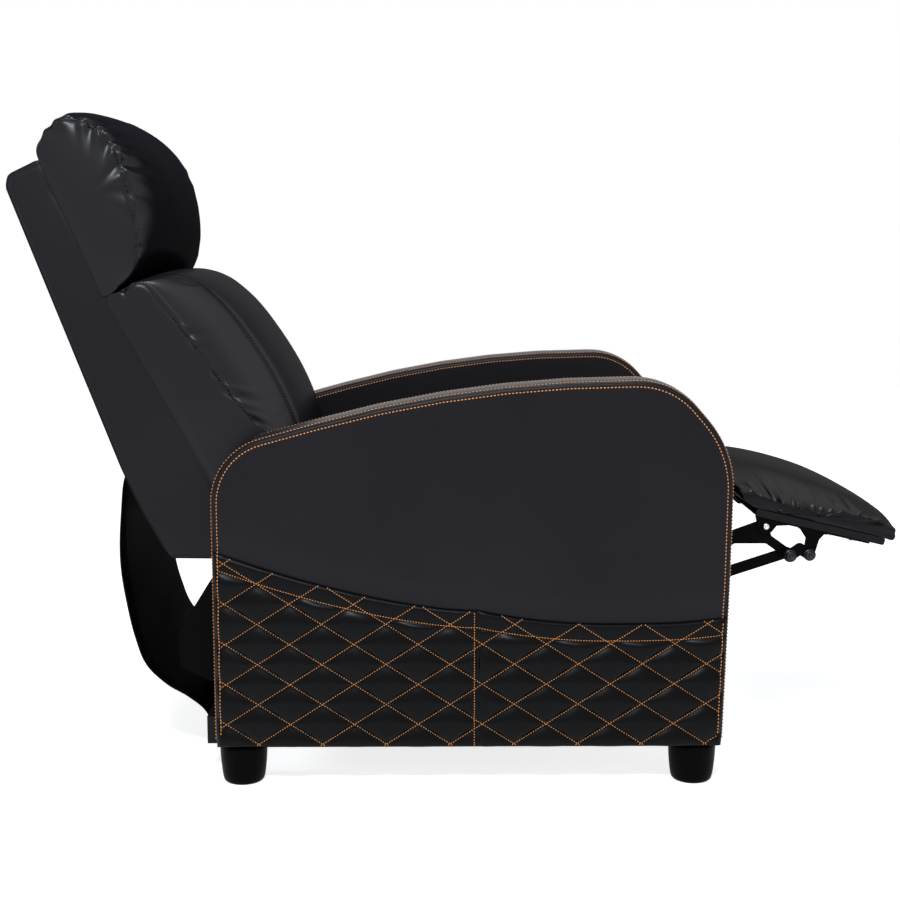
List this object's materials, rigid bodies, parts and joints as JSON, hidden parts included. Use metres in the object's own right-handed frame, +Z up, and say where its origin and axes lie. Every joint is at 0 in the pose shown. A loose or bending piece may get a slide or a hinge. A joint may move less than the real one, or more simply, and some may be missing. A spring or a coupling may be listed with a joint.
{
  "type": "reclining armchair",
  "caption": "Push-back recliner with quilted padded arms, a leaning back with a head cushion and a linked fold-out footrest.",
  "frame": {"origin": "on the floor under the middle of the opened chair's bounding box", "axes": "+X the way the sitter faces, +Y to the sitter's left, +Z up"},
  "size_m": [1.3258, 0.685, 0.996],
  "materials": {
    "wood": "planed pine and plywood",
    "foam": "open foam padding",
    "leather": "soft black synthetic leather, semi-matt",
    "quilted_leather": "black synthetic leather quilted in diamonds with orange thread",
    "cushion_leather": "soft black synthetic leather over foam, semi-matt",
    "foot_plastic": "moulded black plastic",
    "mechanism_paint": "black powder coat",
    "steel": "zinc plated",
    "skirt_vinyl": "thin black vinyl sheet",
    "webbing": "woven elastic webbing"
  },
  "bodies": {
    "base": {"arm_frame_left": "wood", "arm_frame_right": "wood", "arm_padding_left": "foam", "arm_padding_right": "foam", "arm_gusset_left": "leather", "arm_gusset_right": "leather", "arm_outer_panel_left": "leather", "arm_outer_panel_right": "leather", "arm_inner_panel_left": "leather", "arm_inner_panel_right": "leather", "quilt_rear_left": "quilted_leather", "quilt_rear_right": "quilted_leather", "quilt_front_left": "quilted_leather", "quilt_front_right": "quilted_leather", "foot_front_left": "foot_plastic", "foot_front_right": "foot_plastic", "foot_rear_left": "foot_plastic", "foot_rear_right": "foot_plastic", "foot_studs": "steel", "front_base_rail": "wood", "rear_base_rail": "mechanism_paint", "rear_low_rail": "skirt_vinyl", "rear_gussets": "mechanism_paint", "base_plate_left": "mechanism_paint", "base_plate_right": "mechanism_paint", "base_pins": "steel", "arm_bolts": "steel", "skirt": "skirt_vinyl"},
    "back": {"back_side_board_left": "leather", "back_side_board_right": "leather", "back_rear_panel": "leather", "back_stiles": "wood", "back_rails": "wood", "back_webbing": "webbing", "back_cushion": "cushion_leather", "head_cushion": "cushion_leather", "back_bracket_left": "mechanism_paint", "back_bracket_right": "mechanism_paint"},
    "swing": {"swing_links": "mechanism_paint", "swing_tube": "mechanism_paint"},
    "seat": {"seat_rails": "wood", "seat_springs": "steel", "seat_cushion": "cushion_leather", "seat_plate_left": "mechanism_paint", "seat_plate_right": "mechanism_paint"},
    "crank": {"crank_links": "mechanism_paint", "crank_tube": "mechanism_paint"},
    "guide": {"guide_links": "mechanism_paint"},
    "upper": {"upper_links": "mechanism_paint"},
    "lower": {"lower_links": "mechanism_paint"},
    "diagonal": {"diagonal_links": "mechanism_paint"},
    "short": {"short_links": "mechanism_paint"},
    "footrest": {"footrest_brackets": "mechanism_paint", "footrest_board": "leather", "footrest_cushion": "cushion_leather", "footrest_screws": "steel"}
  },
  "joints": [
    {"name": "back_recline", "type": "hinge", "parent": "base", "child": "back", "pos_m": [-0.2623, 0, 0.38], "axis": [0, -1, 0], "range_deg": [-12, 45], "deforming": ["skirt"]},
    {"name": "swing", "type": "hinge", "parent": "base", "child": "swing", "pos_m": [0.1027, 0, 0.367], "axis": [0, -1, 0], "range_deg": [-12.5, 45.5]},
    {"name": "seat_level", "type": "hinge", "parent": "swing", "child": "seat", "pos_m": [0.1027, 0, 0.3], "axis": [0, -1, 0], "range_deg": [-45.5, 12.5]},
    {"name": "footrest", "type": "hinge", "parent": "seat", "child": "crank", "pos_m": [0.2687, 0, 0.348], "axis": [0, 1, 0], "range_deg": [0, 110]},
    {"name": "upper_fold", "type": "hinge", "parent": "crank", "child": "upper", "pos_m": [0.3597, 0, 0.322], "axis": [0, 1, 0], "range_deg": [-110.5, 0.5]},
    {"name": "guide_fold", "type": "hinge", "parent": "seat", "child": "guide", "pos_m": [0.2927, 0, 0.364], "axis": [0, 1, 0], "range_deg": [-0.5, 110.5]},
    {"name": "lower_fold", "type": "hinge", "parent": "crank", "child": "lower", "pos_m": [0.3947, 0, 0.297], "axis": [0, 1, 0], "range_deg": [-110.5, 0.5]},
    {"name": "diagonal_fold", "type": "hinge", "parent": "upper", "child": "diagonal", "pos_m": [0.4537, 0, 0.353], "axis": [0, 1, 0], "range_deg": [-0.5, 110.5]},
    {"name": "footrest_tilt", "type": "hinge", "parent": "upper", "child": "footrest", "pos_m": [0.4517, 0, 0.372], "axis": [0, 1, 0], "range_deg": [-0.5, 77.1]},
    {"name": "short_fold", "type": "hinge", "parent": "footrest", "child": "short", "pos_m": [0.5177, 0, 0.329], "axis": [0, 1, 0], "range_deg": [-3.7, 0.5]}
  ],
  "couplings": [
    {"joint": "swing", "follows": "back_recline", "ratio": 1},
    {"joint": "seat_level", "follows": "back_recline", "ratio": -1},
    {"joint": "upper_fold", "follows": "footrest", "ratio": -1},
    {"joint": "guide_fold", "follows": "footrest", "ratio": 1},
    {"joint": "lower_fold", "follows": "footrest", "ratio": -1},
    {"joint": "diagonal_fold", "follows": "footrest", "ratio": 1},
    {"joint": "footrest_tilt", "follows": "footrest", "ratio": 0.6968},
    {"joint": "short_fold", "follows": "footrest", "ratio": -0.0295}
  ]
}
